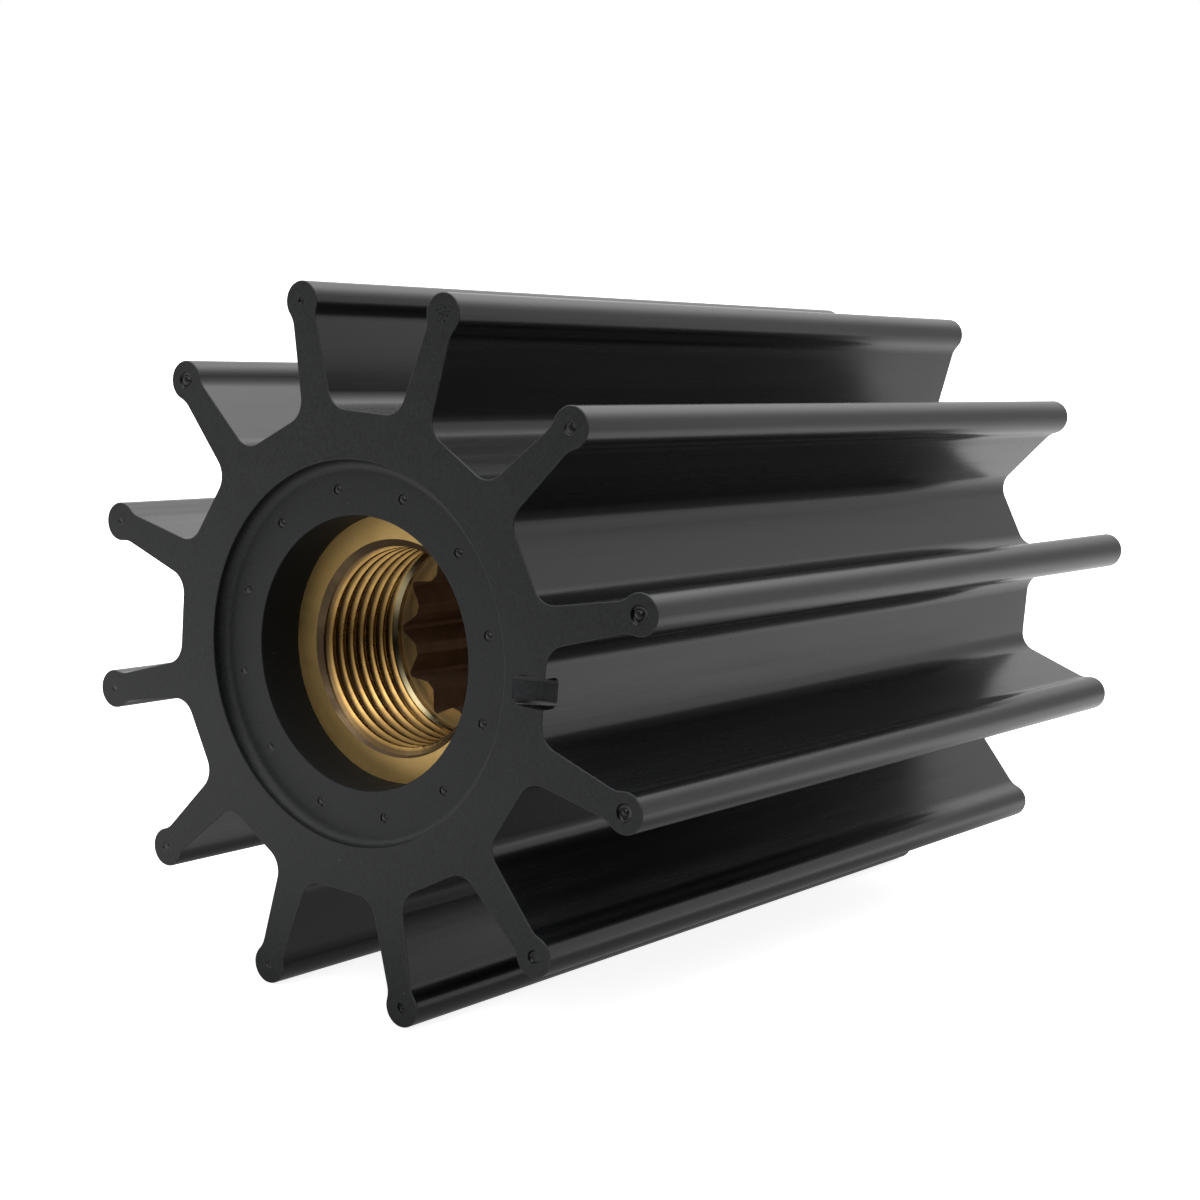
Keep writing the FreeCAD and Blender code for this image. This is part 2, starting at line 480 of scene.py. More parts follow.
print("material helpers ready")


# %% How a rubber is built up
dust_grey = (0.16, 0.16, 0.155)


def rubber_finish(
    name, dark, light, gloss_range, grain_relief, wave_relief, specular, streaky=False, fineness=1.0,
):
    """Rubber between two greys, with a roughness range, two reliefs in millimetres and a pattern scale."""
    material, tree, shader = new_finish(name, {"Metallic": 0.0, "Specular IOR Level": specular})
    grain = add_group(tree, rubber_grain, fineness)
    streaks = add_group(tree, mould_streaks, fineness)
    specks = add_group(tree, dust, fineness)
    tone = streaks.outputs["Streak"] if streaky else grain.outputs["Speckle"]
    colour = blend(tree, remap(tree, tone, (0.36, 0.64), (0.0, 1.0)), dark, light)
    cloudy = blend(tree, remap(tree, grain.outputs["Cloud"], (0.35, 0.7), (0.0, 0.35)), colour, light)
    dusty = blend(tree, remap(tree, specks.outputs["Mask"], (0.0, 1.0), (0.0, 0.5)), cloudy, dust_grey)
    tree.links.new(dusty, shader.inputs["Base Color"])
    tree.links.new(remap(tree, tone, (0.3, 0.7), gloss_range), shader.inputs["Roughness"])
    wavy = bump(tree, streaks.outputs["Wave"], wave_relief)
    tree.links.new(bump(tree, grain.outputs["Height"], grain_relief, below=wavy), shader.inputs["Normal"])
    return material


print("dust on rubber is the grey", dust_grey)

# %% The four rubbers
end_face_rubber = rubber_finish(
    "end_face_rubber", dark=(0.002, 0.0025, 0.003), light=(0.0138, 0.0152, 0.0168),
    gloss_range=(0.40, 0.54), grain_relief=0.030, wave_relief=0.08, specular=0.42,
)
vane_skin_rubber = rubber_finish(
    "vane_skin_rubber", dark=(0.003, 0.0033, 0.0038), light=(0.008, 0.0086, 0.0095),
    gloss_range=(0.22, 0.30), grain_relief=0.003, wave_relief=0.35, specular=0.5, streaky=True,
)
worn_edge_rubber = rubber_finish(
    "worn_edge_rubber", dark=(0.012, 0.013, 0.014), light=(0.038, 0.040, 0.043),
    gloss_range=(0.40, 0.55), grain_relief=0.010, wave_relief=0.05, specular=0.45, fineness=1.2,
)
bore_wall_rubber = rubber_finish(
    "bore_wall_rubber", dark=(0.012, 0.0137, 0.0145), light=(0.018, 0.020, 0.021),
    gloss_range=(0.62, 0.75), grain_relief=0.010, wave_relief=0.05, specular=0.12, fineness=0.9,
)
rubber_finishes = (end_face_rubber, vane_skin_rubber, worn_edge_rubber, bore_wall_rubber)
END_FACE, VANE_SKIN, WORN_EDGE, BORE_WALL = range(4)
print("rubbers", [finish.name for finish in rubber_finishes])

# %% [markdown]
# ## Patterns of the brass
#
# A lathe leaves fine rings about the axis, and a broach leaves lines along it. Noise of one dimension
# over the distance from the axis, plus the distance along it, makes the rings on faces and walls
# alike. Noise that is stretched along the axis makes the lines. Brass that has lain in a store also
# darkens in soft patches.

# %% Rings, broach lines and tarnish
tree, scale = new_pattern("turned_rings")
position = node(tree, "TexCoord").outputs["Object"]
off_axis = node(tree, "VectorMath", {0: position, 1: (1, 0, 1)}, operation="MULTIPLY")
radius = node(tree, "VectorMath", {0: off_axis.outputs["Vector"]}, operation="LENGTH").outputs["Value"]
along = node(tree, "SeparateXYZ", {"Vector": position}).outputs["Y"]
spread = node(tree, "Math", {0: radius, 1: along}, operation="ADD")
fineness = node(tree, "Math", {0: spread.outputs[0], 1: scale}, operation="MULTIPLY")
rings = node(tree, "TexNoise", {
    "W": fineness.outputs[0], "Scale": 7000.0, "Detail": 3.0, "Roughness": 0.7,
}, noise_dimensions="1D").outputs["Fac"]
turned_rings = hand_out(tree, {"Tone": rings, "Height": rings, "Radius": radius})

tree, scale = new_pattern("broach_lines")
position = scaled_position(tree, scale)
lines = noise(tree, position, per_metre=4200, detail=3.0, roughness=0.65, stretch=(1, 0.012, 1))
broach_lines = hand_out(tree, {"Tone": lines, "Height": lines})

tree, scale = new_pattern("tarnish")
position = scaled_position(tree, scale)
patch = noise(tree, position, per_metre=150, detail=5.0, roughness=0.62)
spots = noise(tree, position, per_metre=1300, detail=3.0, roughness=0.6)
tarnish = hand_out(tree, {"Patch": patch, "Spots": spots})

# %% [markdown]
# ## Brass finishes
#
# Each tool left its own surface. The faced end is matt, the thread is bright with painted shade
# in its grooves, the lead-in is dark, a darkened copy that paints shade on the mouth's bevel, the
# broached bore is dull and a little pink, the relief behind the thread is nearly a mirror, and the
# tooth ends are a lightened copy that paints light on the teeth deep in the socket. They differ in
# colour, gloss and marks only, so one function makes all.

# %% How a brass is built up
# Brown is blended into the thread's roots over a rise in radius: painted shade in the grooves.
groove_shade_brown = (0.10, 0.07, 0.045)
groove_shade_rise = 0.3


def brass_finish(
    name, bright, dull, gloss_range, relief, dulling, marks=turned_rings, groove_shade_from=None, stain_scale=1.0,
):
    """Brass between a bright and a dull colour, with a tool's marks and a relief in millimetres."""
    material, tree, shader = new_finish(name, {"Metallic": 1.0, "Specular IOR Level": 0.5})
    tool, dark = add_group(tree, marks, 1.0), add_group(tree, tarnish, stain_scale)
    patchy = blend(tree, remap(tree, dark.outputs["Patch"], (0.38, 0.66), dulling), bright, dull)
    colour = blend(tree, remap(tree, tool.outputs["Tone"], (0.35, 0.7), (0.0, 0.35)), patchy, dull)
    # Past a radius, towards the roots of the thread, the colour turns brown: painted shade in the grooves.
    if groove_shade_from:
        groove_shade_zone = (groove_shade_from * MM, (groove_shade_from + groove_shade_rise) * MM)
        deep = remap(tree, tool.outputs["Radius"], groove_shade_zone, (0.0, 0.75))
        colour = blend(tree, deep, colour, groove_shade_brown)
    tree.links.new(colour, shader.inputs["Base Color"])
    gloss = remap(tree, dark.outputs["Patch"], (0.35, 0.7), gloss_range)
    spotty = remap(tree, dark.outputs["Spots"], (0.4, 0.7), (-0.02, 0.05))
    rough = node(tree, "Math", {0: gloss, 1: spotty}, operation="ADD")
    tree.links.new(rough.outputs[0], shader.inputs["Roughness"])
    tree.links.new(bump(tree, tool.outputs["Height"], relief), shader.inputs["Normal"])
    return material


print("painted groove shade thickens over", groove_shade_rise, "mm of radius")

# %% The six brasses
turned_face_brass = brass_finish(
    "turned_face_brass", bright=(0.82, 0.56, 0.215), dull=(0.70, 0.475, 0.180),
    gloss_range=(0.48, 0.58), relief=0.006, dulling=(0.0, 0.7),
)
thread_brass = brass_finish(
    "thread_brass", bright=(0.75, 0.465, 0.15), dull=(0.55, 0.33, 0.11),
    gloss_range=(0.24, 0.36), relief=0.003, dulling=(0.0, 0.8), groove_shade_from=13.15,
)
bore_brass = brass_finish(
    "bore_brass", bright=(0.66, 0.50, 0.37), dull=(0.50, 0.37, 0.265),
    gloss_range=(0.50, 0.62), relief=0.002, dulling=(0.1, 0.9), marks=broach_lines,
)
# The lead-in is a much darker copy of the brass: painted shade on the mouth's bevel. The same finish also
# makes the wall behind the relief a dark band.
lead_in_brass = brass_finish(
    "lead_in_brass", bright=(0.25, 0.17, 0.095), dull=(0.15, 0.105, 0.064),
    gloss_range=(0.42, 0.55), relief=0.006, dulling=(0.0, 1.0), stain_scale=1.3,
)
relief_brass = brass_finish(
    "relief_brass", bright=(0.44, 0.37, 0.21), dull=(0.34, 0.28, 0.155),
    gloss_range=(0.14, 0.19), relief=0.003, dulling=(0.0, 0.8),
)
# The tooth ends are a lighter, paler copy of the faced brass: painted light on the teeth deep in the
# socket.
tooth_end_brass = brass_finish(
    "tooth_end_brass", bright=(1.00, 0.82, 0.44), dull=(0.94, 0.75, 0.38),
    gloss_range=(0.38, 0.46), relief=0.006, dulling=(0.0, 0.7),
)
brass_finishes = (turned_face_brass, thread_brass, bore_brass, lead_in_brass, relief_brass, tooth_end_brass)
TURNED_FACE, THREAD, BORE, LEAD_IN, RELIEF, TOOTH_END = range(6)
print("brasses", [finish.name for finish in brass_finishes])

# %% [markdown]
# ## The vane section
#
# The section of the moulding repeats every thirty degrees. Only half of one gap is drawn: from the
# crown of a bead, down its side, through the neck fillet to the vane's flank, and through the root
# fillet to the middle of the hub's flat. The other half is its mirror image, and eleven turned
# copies complete the ring.

# %% Sizes of the section
bead_neck_fillet = 3.0
vane_tip_thickness = 3.6
vane_root_thickness = 5.2
vane_root_fillet = 3.0
hub_flat_distance = 30.6
print("vane", round(bead_circle_radius - hub_flat_distance, 1), "mm from the flat to the bead's middle")


# %% Half of a gap, drawn from a bead's crown to the flat
def draw_half_gap(bm):
    """Draw the right half of the top gap. The vane leans to the right by half a pitch."""
    lean = vane_pitch / 2
    along = Vector((math.sin(lean), 0, math.cos(lean)))
    across = Vector((-math.cos(lean), 0, math.sin(lean)))
    bead_centre = along * bead_circle_radius
    foot = along * hub_flat_distance + across * (vane_root_thickness / 2)
    head = bead_centre + across * (vane_tip_thickness / 2)
    up_flank = (head - foot).normalized()
    off_flank = Vector((-up_flank.z, 0, up_flank.x))

    root_z = hub_flat_distance + vane_root_fillet
    root_shift = (vane_root_fillet - (root_z - foot.z) * off_flank.z) / off_flank.x
    root_centre = Vector((foot.x + root_shift, 0, root_z))
    rise = bead_neck_fillet - (bead_centre - foot).dot(off_flank)
    back = math.sqrt((bead_radius + bead_neck_fillet) ** 2 - rise ** 2)
    neck_reach = (bead_centre - foot).dot(up_flank) - back
    neck_centre = foot + up_flank * neck_reach + off_flank * bead_neck_fillet

    pen = bm.verts.new(bead_centre + along * bead_radius)
    pen = arc_to(bm, pen, bead_centre, neck_centre)
    pen = arc_to(bm, pen, neck_centre, neck_centre - off_flank)
    pen = line_to(bm, pen, root_centre - off_flank * vane_root_fillet)
    pen = arc_to(bm, pen, root_centre, root_centre - UP)
    line_to(bm, pen, UP * hub_flat_distance)


section = bmesh.new()
draw_half_gap(section)
bmesh.ops.mirror(section, geom=all_of(section), axis="X", merge_dist=WELD_DISTANCE)
bmesh.ops.spin(
    section, geom=all_of(section), cent=(0, 0, 0), axis=AXIS, use_duplicate=True,
    angle=2 * math.pi - vane_pitch, steps=vane_count - 1,
)
bmesh.ops.remove_doubles(section, verts=section.verts, dist=WELD_DISTANCE)
print("section points", len(section.verts), "edges", len(section.edges))

# %% [markdown]
# ## The blank
#
# The section is drawn out along the axis in short lengths, so that no face of a vane is a very long
# sliver. Both ends are closed with one large face, and the rim between that face and the sides is
# rounded. A moulded edge is sharp but never perfect, and the narrow round catches the thin light
# line that makes a dark object readable.

# %% Draw out the section
length_steps = 20
end_loops = [section.edges[:]]
bmesh.ops.translate(section, vec=(0, -half_length, 0), verts=section.verts)
for _ in range(length_steps):
    made = bmesh.ops.extrude_edge_only(section, edges=end_loops[-1])["geom"]
    ring = [item for item in made if isinstance(item, bmesh.types.BMVert)]
    bmesh.ops.translate(section, vec=(0, 2 * half_length / length_steps, 0), verts=ring)
    end_loops.append([edge for edge in {e for v in ring for e in v.link_edges}
                      if edge.verts[0] in ring and edge.verts[1] in ring])
for face in section.faces:
    face.material_index = VANE_SKIN
print("side faces", len(section.faces))

# %% Close the ends and round their rims
edge_round = 0.16
rims = end_loops[0] + end_loops[-1]
for loop in (end_loops[0], end_loops[-1]):
    bmesh.ops.edgeloop_fill(section, edges=loop, mat_nr=END_FACE)
bmesh.ops.recalc_face_normals(section, faces=section.faces)
rounded = bmesh.ops.bevel(
    section, geom=rims, offset=edge_round, offset_type="OFFSET", affect="EDGES",
    segments=2, profile=0.5, material=-1,
)
for face in rounded["faces"]:
    face.material_index = WORN_EDGE
print("blank faces", len(section.faces))
rubber = solid_piece("moulded_rubber", section, rubber_finishes)

# %% [markdown]
# ## The core plugs
#
# Two plugs meet in the mould, one from each end, and make the shallow recess, the bore that leads to
# the bush and the pocket that the bush fills. One outline of both is drawn from end to end beside
# the axis and turned once round it. The lip of the recess and of the bore is rounded like the rims,
# and the recess has a generous cove at its wall.

# %% Outline of the plugs
recess_radius = 24.55
recess_depth = 1.8
recess_cove = 1.4
entry_radius = 17.5
plug_overrun = 3.0


def draw_plug_half(bm, side):
    """Draw half of the plugs' outline: side -1 from the front mouth, 1 from the rear mouth."""
    def at(radius, depth):
        return Vector((radius, side * (half_length - depth), 0))

    lip_centre = at(recess_radius + edge_round, edge_round)
    cove_depth = recess_depth - recess_cove
    cove_radius = recess_radius - recess_cove
    floor_edge = recess_depth + edge_round
    entry_lip = entry_radius + edge_round
    pen = bm.verts.new(at(0, -plug_overrun))
    pen = line_to(bm, pen, at(recess_radius + edge_round, -plug_overrun))
    pen = line_to(bm, pen, at(recess_radius + edge_round, 0))
    pen = arc_to(bm, pen, lip_centre, at(recess_radius, edge_round), UP)
    pen = line_to(bm, pen, at(recess_radius, cove_depth))
    pen = arc_to(bm, pen, at(cove_radius, cove_depth), at(cove_radius, recess_depth), UP)
    pen = line_to(bm, pen, at(entry_lip, recess_depth))
    pen = arc_to(bm, pen, at(entry_lip, floor_edge), at(entry_radius, floor_edge), UP)
    pen = line_to(bm, pen, Vector((entry_radius, side * bush_half_length, 0)))
    pen = line_to(bm, pen, Vector((bush_radius, side * bush_half_length, 0)))
    line_to(bm, pen, Vector((bush_radius, 0, 0)))


plug = bmesh.new()
draw_plug_half(plug, -1)
draw_plug_half(plug, 1)
bmesh.ops.remove_doubles(plug, verts=plug.verts, dist=WELD_DISTANCE)
print("plug outline points", len(plug.verts))

# %% Turn the plugs and take them away
lathe(plug)
for face in plug.faces:
    centre = face.calc_center_median()
    radius = math.hypot(centre.x, centre.z)
    in_bore = radius < entry_radius + edge_round / 2 or abs(centre.y) < bush_half_length
    face.material_index = BORE_WALL if in_bore else END_FACE
take_away(rubber, solid_piece("plug", plug, rubber_finishes))
print("rubber after the plugs", len(rubber.data.polygons), "faces")

# %% [markdown]
# ## The groove
#
# A small groove runs out of the front face over one flat of the hub, and gets deeper on its way out,
# as a scoop does. Its section is a trough with rounded corners. The trough is drawn once at the inner
# end and pushed sideways and down along the ramp of its floor.

# %% Section of the groove
groove_width = 3.8
groove_inner_end = 25.9
groove_height = 0.15
groove_inner_depth = 0.06
groove_outer_depth = 2.8
groove_corner = 1.0
half_width = groove_width / 2
corner_middle = half_width - groove_corner
corner_depth = groove_inner_depth - groove_corner


def at_groove(height, depth):
    """Point of the trough's section at the inner end."""
    return Vector((groove_inner_end, depth - half_length, groove_height + height))


trough = bmesh.new()
first = pen = trough.verts.new(at_groove(-half_width, -plug_overrun))
pen = line_to(trough, pen, at_groove(-half_width, corner_depth))
low_corner = at_groove(-corner_middle, corner_depth)
pen = arc_to(trough, pen, low_corner, at_groove(-corner_middle, groove_inner_depth), ACROSS)
pen = line_to(trough, pen, at_groove(corner_middle, groove_inner_depth))
high_corner = at_groove(corner_middle, corner_depth)
pen = arc_to(trough, pen, high_corner, at_groove(half_width, corner_depth), ACROSS)
pen = line_to(trough, pen, at_groove(half_width, -plug_overrun))
trough.edges.new((pen, first))
print("groove section points", len(trough.verts))

# %% Push the section out and take it away
groove_overrun = 1.0
wall_tilt = 0.2
inner_end = bmesh.ops.edgeloop_fill(trough, edges=trough.edges[:])["faces"]
pushed = bmesh.ops.extrude_face_region(trough, geom=inner_end)["geom"]
pushed_verts = [item for item in pushed if isinstance(item, bmesh.types.BMVert)]
run_out = hub_flat_distance - groove_inner_end
ramp = (groove_outer_depth - groove_inner_depth) / run_out
reach = run_out + groove_overrun
bmesh.ops.translate(trough, vec=(reach, reach * ramp, 0), verts=pushed_verts)
bmesh.ops.recalc_face_normals(trough, faces=trough.faces)
for face in trough.faces:
    face.material_index = VANE_SKIN if abs(face.normal.z) > wall_tilt else WORN_EDGE
take_away(rubber, solid_piece("trough", trough, rubber_finishes))
print("rubber after the groove", len(rubber.data.polygons), "faces")

# %% [markdown]
# ## Marks of the mould
#
# Small pins pushed the soft moulding out of its cavity. Each left a shallow pit in the end face of a
# bead, and twelve more stand in a circle in the recess. Some kept a button of rubber in the middle
# and some are torn, so no two are alike. A pit is a little turned body with a slightly uneven rim.
# All pits are gathered in one cutter, and taken away at once.

# %% Outline of a pit
pit_overrun = 0.4
pit_lip = 0.03


def pit_outline(radius, depth, button, button_drop):
    """Points of radius and depth, from the pit's middle to its rim and back above the face."""
    if button:
        points = [
            (0, button_drop),
            (0.55 * button, button_drop + 0.02),
            (0.85 * button, 0.6 * button_drop + 0.4 * depth),
            (button, depth),
            (0.45 * button + 0.55 * radius, depth),
            (0.93 * radius, 0.75 * depth),
        ]
    else:
        points = [(0, depth), (0.45 * radius, 0.93 * depth), (0.82 * radius, 0.6 * depth)]
    rim = 1.06 * radius
    return points + [(radius, 0.12 * depth), (rim, -pit_lip), (rim, -pit_overrun), (0, -pit_overrun)]


print("outline of a 1 mm pit", pit_outline(1.0, 0.5, 0.0, 0.0))

# %% One pit
chance = random.Random(11)
pit_steps = 26
wave_phases = (0, 6.28)  # radians, from none to about a full turn
wave_sizes = (0.01, 0.05)  # shares of the radius


def pit(bm, place, radius, depth, button=0.0, button_drop=0.0, lean=0.0):
    """Add a pit's cutter. The place is on the face, and lean pushes the button aside."""
    part = bmesh.new()
    rule_through(part, [Vector((r, y, 0)) for r, y in pit_outline(radius, depth, button, button_drop)])
    lathe(part, pit_steps)
    waves = [(chance.uniform(*wave_phases), chance.uniform(*wave_sizes)) for _ in range(4)]
    for vert in part.verts:
        angle = math.atan2(vert.co.z, vert.co.x)
        bulges = [size * math.sin(order * angle + phase) for order, (phase, size) in enumerate(waves, 1)]
        stretch = 1 + sum(bulges)
        vert.co.x *= stretch
        vert.co.z *= stretch
        share = math.hypot(vert.co.x, vert.co.z) / radius
        if share < 1 and vert.co.y > -pit_overrun / 2:
            vert.co.x -= lean * (1 - share ** 2)
    bmesh.ops.translate(part, vec=place, verts=part.verts)
    for face in part.faces:
        face.material_index = VANE_SKIN
    mesh = bpy.data.meshes.new("pit")
    part.to_mesh(mesh)
    part.free()
    bm.from_mesh(mesh)
    bpy.data.meshes.remove(mesh)


def clock_place(radius, degrees, depth=0.0):
    """Point at a clock angle, at a depth behind the front end."""
    angle = math.radians(degrees)
    return Vector((radius * math.sin(angle), depth - half_length, radius * math.cos(angle)))


print("first bead to the right of the top", clock_place(bead_circle_radius, 15))

# %% Pits of the beads
# clock angle, radius, depth, button radius, button drop, button moved to the left
bead_pits = [
    (45, 0.86, 0.1275, 0.62, 0.02, 0.0),
    (75, 1.20, 0.374, 0.70, 0.08, 0.34),
    (105, 1.12, 0.425, 0.55, 0.22, 0.22),
    (135, 0.82, 0.425, 0.34, 0.38, 0.05),
    (165, 0.62, 0.3825, 0.30, 0.30, 0.05),
    (195, 0.52, 0.136, 0.0, 0.0, 0.0),
    (225, 0.80, 0.136, 0.50, 0.05, 0.0),
    (255, 0.48, 0.085, 0.0, 0.0, 0.0),
    (285, 0.46, 0.119, 0.0, 0.0, 0.0),
    (315, 1.10, 0.289, 0.72, 0.02, 0.20),
    (345, 0.46, 0.272, 0.0, 0.0, 0.0),
]
pits = bmesh.new()
for clock, radius, depth, button, button_drop, lean in bead_pits:
    pit(pits, clock_place(bead_circle_radius, clock), radius, depth, button, button_drop, lean)
print("bead pits", len(bead_pits))

# %% The torn bead, as a spiral of tiny pits
torn_bead = 15
torn_bits = 14
torn_spacing = 0.30
torn_turn = math.radians(137.5)
torn_radii = (0.06, 0.11)
torn_depths = (0.10, 0.20)
for index in range(torn_bits):
    spiral, angle = torn_spacing * math.sqrt(index), torn_turn * index
    torn = Vector((spiral * math.sin(angle), 0, spiral * math.cos(angle)))
    place = clock_place(bead_circle_radius, torn_bead) + torn
    pit(pits, place, radius=chance.uniform(*torn_radii), depth=chance.uniform(*torn_depths))
print("torn bits", torn_bits)

# %% Pits of the recess, fainter at the left
pin_circle_radius = 21.0
faint_from, faint_to = 210, 300
for clock in range(15, 360, 30):
    faint = 0.5 if faint_from < clock < faint_to else 1.0
    pit(
        pits, clock_place(pin_circle_radius, clock, recess_depth),
        radius=0.66, depth=0.15 * faint, button=0.50, lean=0.08,
    )
take_away(rubber, solid_piece("pits", pits, rubber_finishes))
print("rubber after the pits", len(rubber.data.polygons), "faces")

# %% [markdown]
# ## Scratches
#
# A few fine scratches cross the front face where the part was trimmed by hand. Each is a thin round
# wire, laid half into the face along a drawn line and then taken away, which leaves a tiny groove.

# %% Scratches
# wire radius, then its points on the front face, to the right of the axis and above it
scratch_lines = [
    (0.05, [(13.06, 27.84), (12.19, 26.79), (11.47, 25.86), (10.90, 25.08)]),
    (0.035, [(13.80, 27.35), (13.05, 26.75), (12.40, 26.10)]),
    (0.05, [(15.95, 19.55), (17.40, 18.95), (19.12, 17.10), (20.60, 15.90), (22.82, 14.35)]),
    (0.05, [(16.90, 18.30), (18.30, 17.30), (19.70, 15.60), (20.60, 14.20)]),
]
for wire_radius, points in scratch_lines:
    path = bpy.data.curves.new("scratch", "CURVE")
    path.dimensions = "3D"
    path.bevel_depth = wire_radius
    path.bevel_resolution = 2
    path.use_fill_caps = True
    spline = path.splines.new("POLY")
    spline.points.add(len(points) - 1)
    for target, (x, z) in zip(spline.points, points):
        target.co = (x, -half_length, z, 1)
    wire = add_object("scratch", path)
    mesh = shape_now(wire)
    bpy.data.objects.remove(wire)
    bpy.data.curves.remove(path)
    for finish in rubber_finishes:
        mesh.materials.append(finish)
    for polygon in mesh.polygons:
        polygon.material_index = WORN_EDGE
    take_away(rubber, add_object("scratch_groove", mesh))
print("rubber after the scratches", len(rubber.data.polygons), "faces")

# %% [markdown]
# ## Handing the rubber over
#
# The mesh is brought to metres, while its object stays at the origin, unscaled. Edges that are
# sharper than a limit stay crisp, and weighted normals let the large faces keep flat shading.

# %% Finish the rubber piece
def finish_piece(piece, sharp_degrees):
    """Bring the mesh to metres and shade it smooth, with edges sharper than the angle kept crisp."""
    piece.data.transform(Matrix.Scale(MM, 4))
    piece.data.shade_smooth()
    piece.data.set_sharp_from_angle(angle=math.radians(sharp_degrees))
    weighted = piece.modifiers.new("weighted_normals", "WEIGHTED_NORMAL")
    weighted.keep_sharp = True
    print(piece.name, "finished with", len(piece.data.vertices), "points")


finish_piece(rubber, sharp_degrees=50)
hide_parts("rubber_body")
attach(rubber, "root")

# %% [markdown]
# ## The bush
#
# The bush is turned from bar, bored, tapped and broached. It is modelled in the same order: a plain
# cylinder, then one cutter for each tool.

# %% Bush blank
blank = bmesh.new()
bmesh.ops.create_cone(
    blank, cap_ends=True, cap_tris=False, segments=LATHE_STEPS, radius1=bush_radius, radius2=bush_radius,
    depth=2 * bush_half_length, matrix=Matrix.Rotation(math.radians(90), 4, "X"),
)
for face in blank.faces:
    face.material_index = TURNED_FACE
bush = solid_piece("turned_bush", blank, brass_finishes)
print("bush blank", len(bush.data.polygons), "faces")

# %% [markdown]
# ## The thread
#
# The tap is drawn as it is in the workshop: the outline of one turn, from the middle of one crest to
# the middle of the next, carried round the axis while it moves forward by one pitch a turn. Where a
# turn ends the next begins, so the whole screw welds into one surface. The screw starts at the top,
# two and three quarter turns before the first crest, whose depth is given at nine o'clock.

# %% Tap
crest_radius = 12.92
groove_root_radius = 14.0
pitch = 2.0
crest_flat = pitch / 4
root_flat = pitch / 8
thread_corner = 0.10
turn_steps = 96
turns = 10
first_crest_depth = 10.8
turns_to_first_crest = 2.75
start_y = first_crest_depth - half_length - turns_to_first_crest * pitch
turn_outline = [
    (crest_radius, 0),
    (crest_radius, crest_flat / 2),
    (groove_root_radius, (pitch - root_flat) / 2),
    (groove_root_radius, (pitch + root_flat) / 2),
    (crest_radius, pitch - crest_flat / 2),
    (crest_radius, pitch),
]
tap = bmesh.new()
rule_through(tap, [Vector((0, start_y + offset, radius)) for radius, offset in turn_outline])
bmesh.ops.bevel(
    tap, geom=tap.verts[:][1:-1], offset=thread_corner, offset_type="OFFSET", affect="VERTICES",
    segments=3, profile=0.5, material=-1,
)
bmesh.ops.spin(
    tap, geom=all_of(tap), cent=(0, 0, 0), axis=AXIS, angle=2 * math.pi * turns,
    dvec=AXIS * pitch / turn_steps, steps=turn_steps * turns,
)
bmesh.ops.remove_doubles(tap, verts=tap.verts, dist=WELD_DISTANCE)
tap_ends = [round(end(vert.co.y for vert in tap.verts), 2) for end in (min, max)]
print("tap faces", len(tap.faces), "from y", tap_ends[0], "to", tap_ends[1])

# %% Trim the tap to the threaded length
cut_overrun = 1.0
bush_face_depth = half_length - bush_half_length
relief_start_depth = 22.5
tap_start_depth = bush_face_depth - cut_overrun
tap_end_depth = relief_start_depth + 0.25
fine_weld = 0.0005
for depth, outwards in ((tap_start_depth, -AXIS), (tap_end_depth, AXIS)):
    bmesh.ops.bisect_plane(
        tap, geom=all_of(tap), dist=0.0001, plane_co=(0, depth - half_length, 0),
        plane_no=outwards, clear_outer=True,
    )
    rim = [edge for edge in tap.edges if edge.is_boundary
           and all(abs(vert.co.y + half_length - depth) < WELD_DISTANCE for vert in edge.verts)]
    bmesh.ops.edgeloop_fill(tap, edges=rim)
weld(tap, fine_weld)
print("tap open edges", sum(edge.is_boundary for edge in tap.edges), "faces", len(tap.faces))
for face in tap.faces:
    face.material_index = THREAD
take_away(bush, solid_piece("tap", tap, brass_finishes))

# %% [markdown]
# ## The mouth, the relief and the spline
#
# A lathe tool then cuts a lead-in at the mouth and a relief groove behind the thread, where the tap
# runs out. Last comes the broach, which is pulled through the whole bore and leaves twelve straight
# valleys. Its tooth corners are rounded a little, as a broach's are.

# %% Turned cuts
FACES_REAR = 0.999
FACES_SIDEWAYS = 0.01


def turned_cut(points, finish, wall_finish=None, end_finish=None):
    """Cutter turned from points of radius and depth. Its rear wall and end can differ in finish."""
    outline = [(0, points[0][1])] + points + [(0, points[-1][1])]
    bm = bmesh.new()
    rule_through(bm, [Vector((radius, depth - half_length, 0)) for radius, depth in outline])
    lathe(bm)
    for face in bm.faces:
        face.material_index = finish
        if end_finish is not None and face.normal.y > FACES_REAR:
            face.material_index = end_finish
        elif wall_finish is not None and abs(face.normal.y) < FACES_SIDEWAYS:
            face.material_index = wall_finish
    return solid_piece("turned_cut", bm, brass_finishes)


print("a turned cut has", LATHE_STEPS, "sides")

# %% Mouth and relief
socket_end_depth = 24.4
inner_reach = 12.0
thread_mouth_radius = groove_root_radius + 0.2
mouth_lead = thread_mouth_radius - inner_reach
relief_radius = groove_root_radius + 0.06
relief_inner_depth = relief_start_depth - 0.2
relief_edge_depth = relief_start_depth + 0.22
relief_end_depth = 23.6
relief_end_radius = crest_radius + 0.03
take_away(bush, turned_cut([
    (thread_mouth_radius, bush_face_depth - cut_overrun),
    (thread_mouth_radius, bush_face_depth),
    (inner_reach, bush_face_depth + mouth_lead),
], LEAD_IN))
take_away(bush, turned_cut([
    (inner_reach, relief_inner_depth),
    (relief_radius, relief_edge_depth),
    (relief_end_radius, relief_end_depth),
    (relief_end_radius, socket_end_depth),
], RELIEF, wall_finish=LEAD_IN, end_finish=TOOTH_END))
print("bush after the tap", len(bush.data.polygons), "faces")

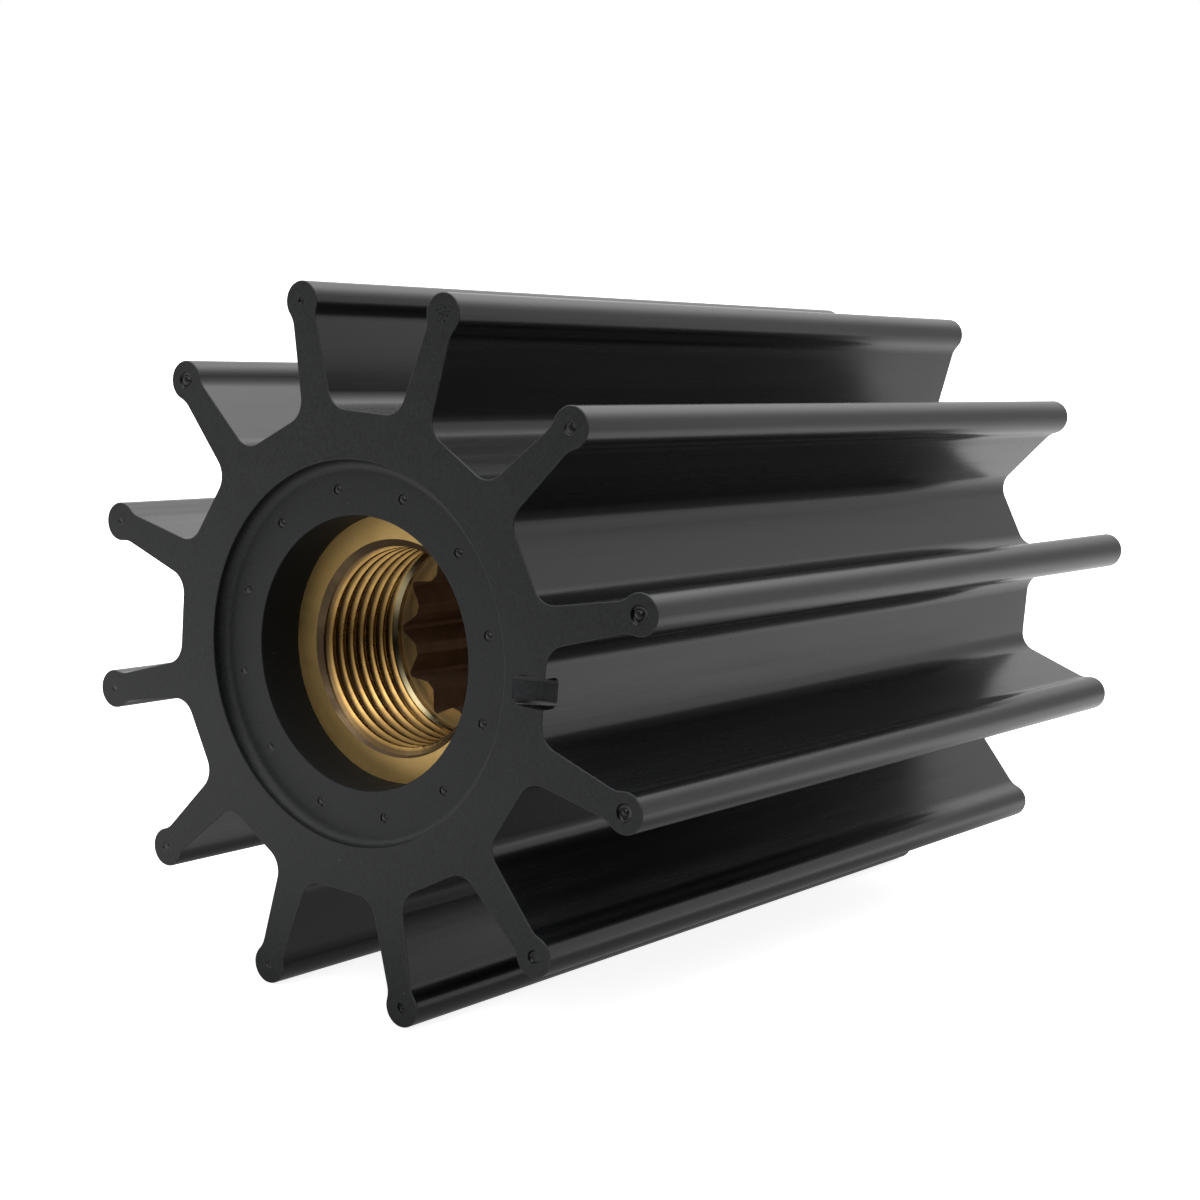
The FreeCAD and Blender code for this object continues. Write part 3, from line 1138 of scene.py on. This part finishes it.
# %% Section of the broach
spline_teeth = 12
valley_radius = 12.75
tooth_radius = 10.5
valley_width = 0.6
tooth_width = 1.4
spline_corner = 0.14
spline_turn = math.radians(-2.2)


def on_circle(radius, clock):
    """Point on a circle about the axis, at a clock angle from the top, clockwise from the front."""
    return Vector((radius * math.sin(clock), 0, radius * math.cos(clock)))


half_valley = math.asin(valley_width / 2 / valley_radius)
half_tooth = math.asin(tooth_width / 2 / tooth_radius)
corners = []
for index in range(spline_teeth):
    valley = spline_turn + index * 2 * math.pi / spline_teeth
    tooth = valley + math.pi / spline_teeth
    corners += [on_circle(valley_radius, valley + side * half_valley) for side in (-1, 1)]
    corners += [on_circle(tooth_radius, tooth + side * half_tooth) for side in (-1, 1)]
broach = bmesh.new()
first, last = rule_through(broach, corners)
broach.edges.new((last, first))
bmesh.ops.bevel(
    broach, geom=broach.verts[:], offset=spline_corner, offset_type="OFFSET", affect="VERTICES",
    segments=3, profile=0.5, material=-1,
)
print("broach section points", len(broach.verts))

# %% Pull the broach through the bore
broach_lead = 0.8
bmesh.ops.translate(broach, vec=(0, socket_end_depth - half_length - broach_lead, 0), verts=broach.verts)
end = bmesh.ops.edgeloop_fill(broach, edges=broach.edges[:])["faces"]
pulled = bmesh.ops.extrude_face_region(broach, geom=end)["geom"]
pulled_verts = [item for item in pulled if isinstance(item, bmesh.types.BMVert)]
bore_length = bush_half_length + half_length - socket_end_depth + broach_lead
bmesh.ops.translate(broach, vec=(0, bore_length + plug_overrun, 0), verts=pulled_verts)
bmesh.ops.recalc_face_normals(broach, faces=broach.faces)
for face in broach.faces:
    face.material_index = BORE
take_away(bush, solid_piece("broach", broach, brass_finishes))
print("bush after the broach", len(bush.data.polygons), "faces")

# %% Rear lead-in
rear_lead_in = 1.0
rear_radius = valley_radius + rear_lead_in
rear_inner_radius = tooth_radius - cut_overrun
rear_face_depth = half_length + bush_half_length
take_away(bush, turned_cut([
    (rear_inner_radius, rear_face_depth - (rear_radius - rear_inner_radius)),
    (rear_radius, rear_face_depth),
    (rear_radius, rear_face_depth + cut_overrun),
], TURNED_FACE))
print("bush after the rear lead-in", len(bush.data.polygons), "faces")

# %% Finish the brass piece
finish_piece(bush, sharp_degrees=35)
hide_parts("brass_bush")
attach(bush, "root")
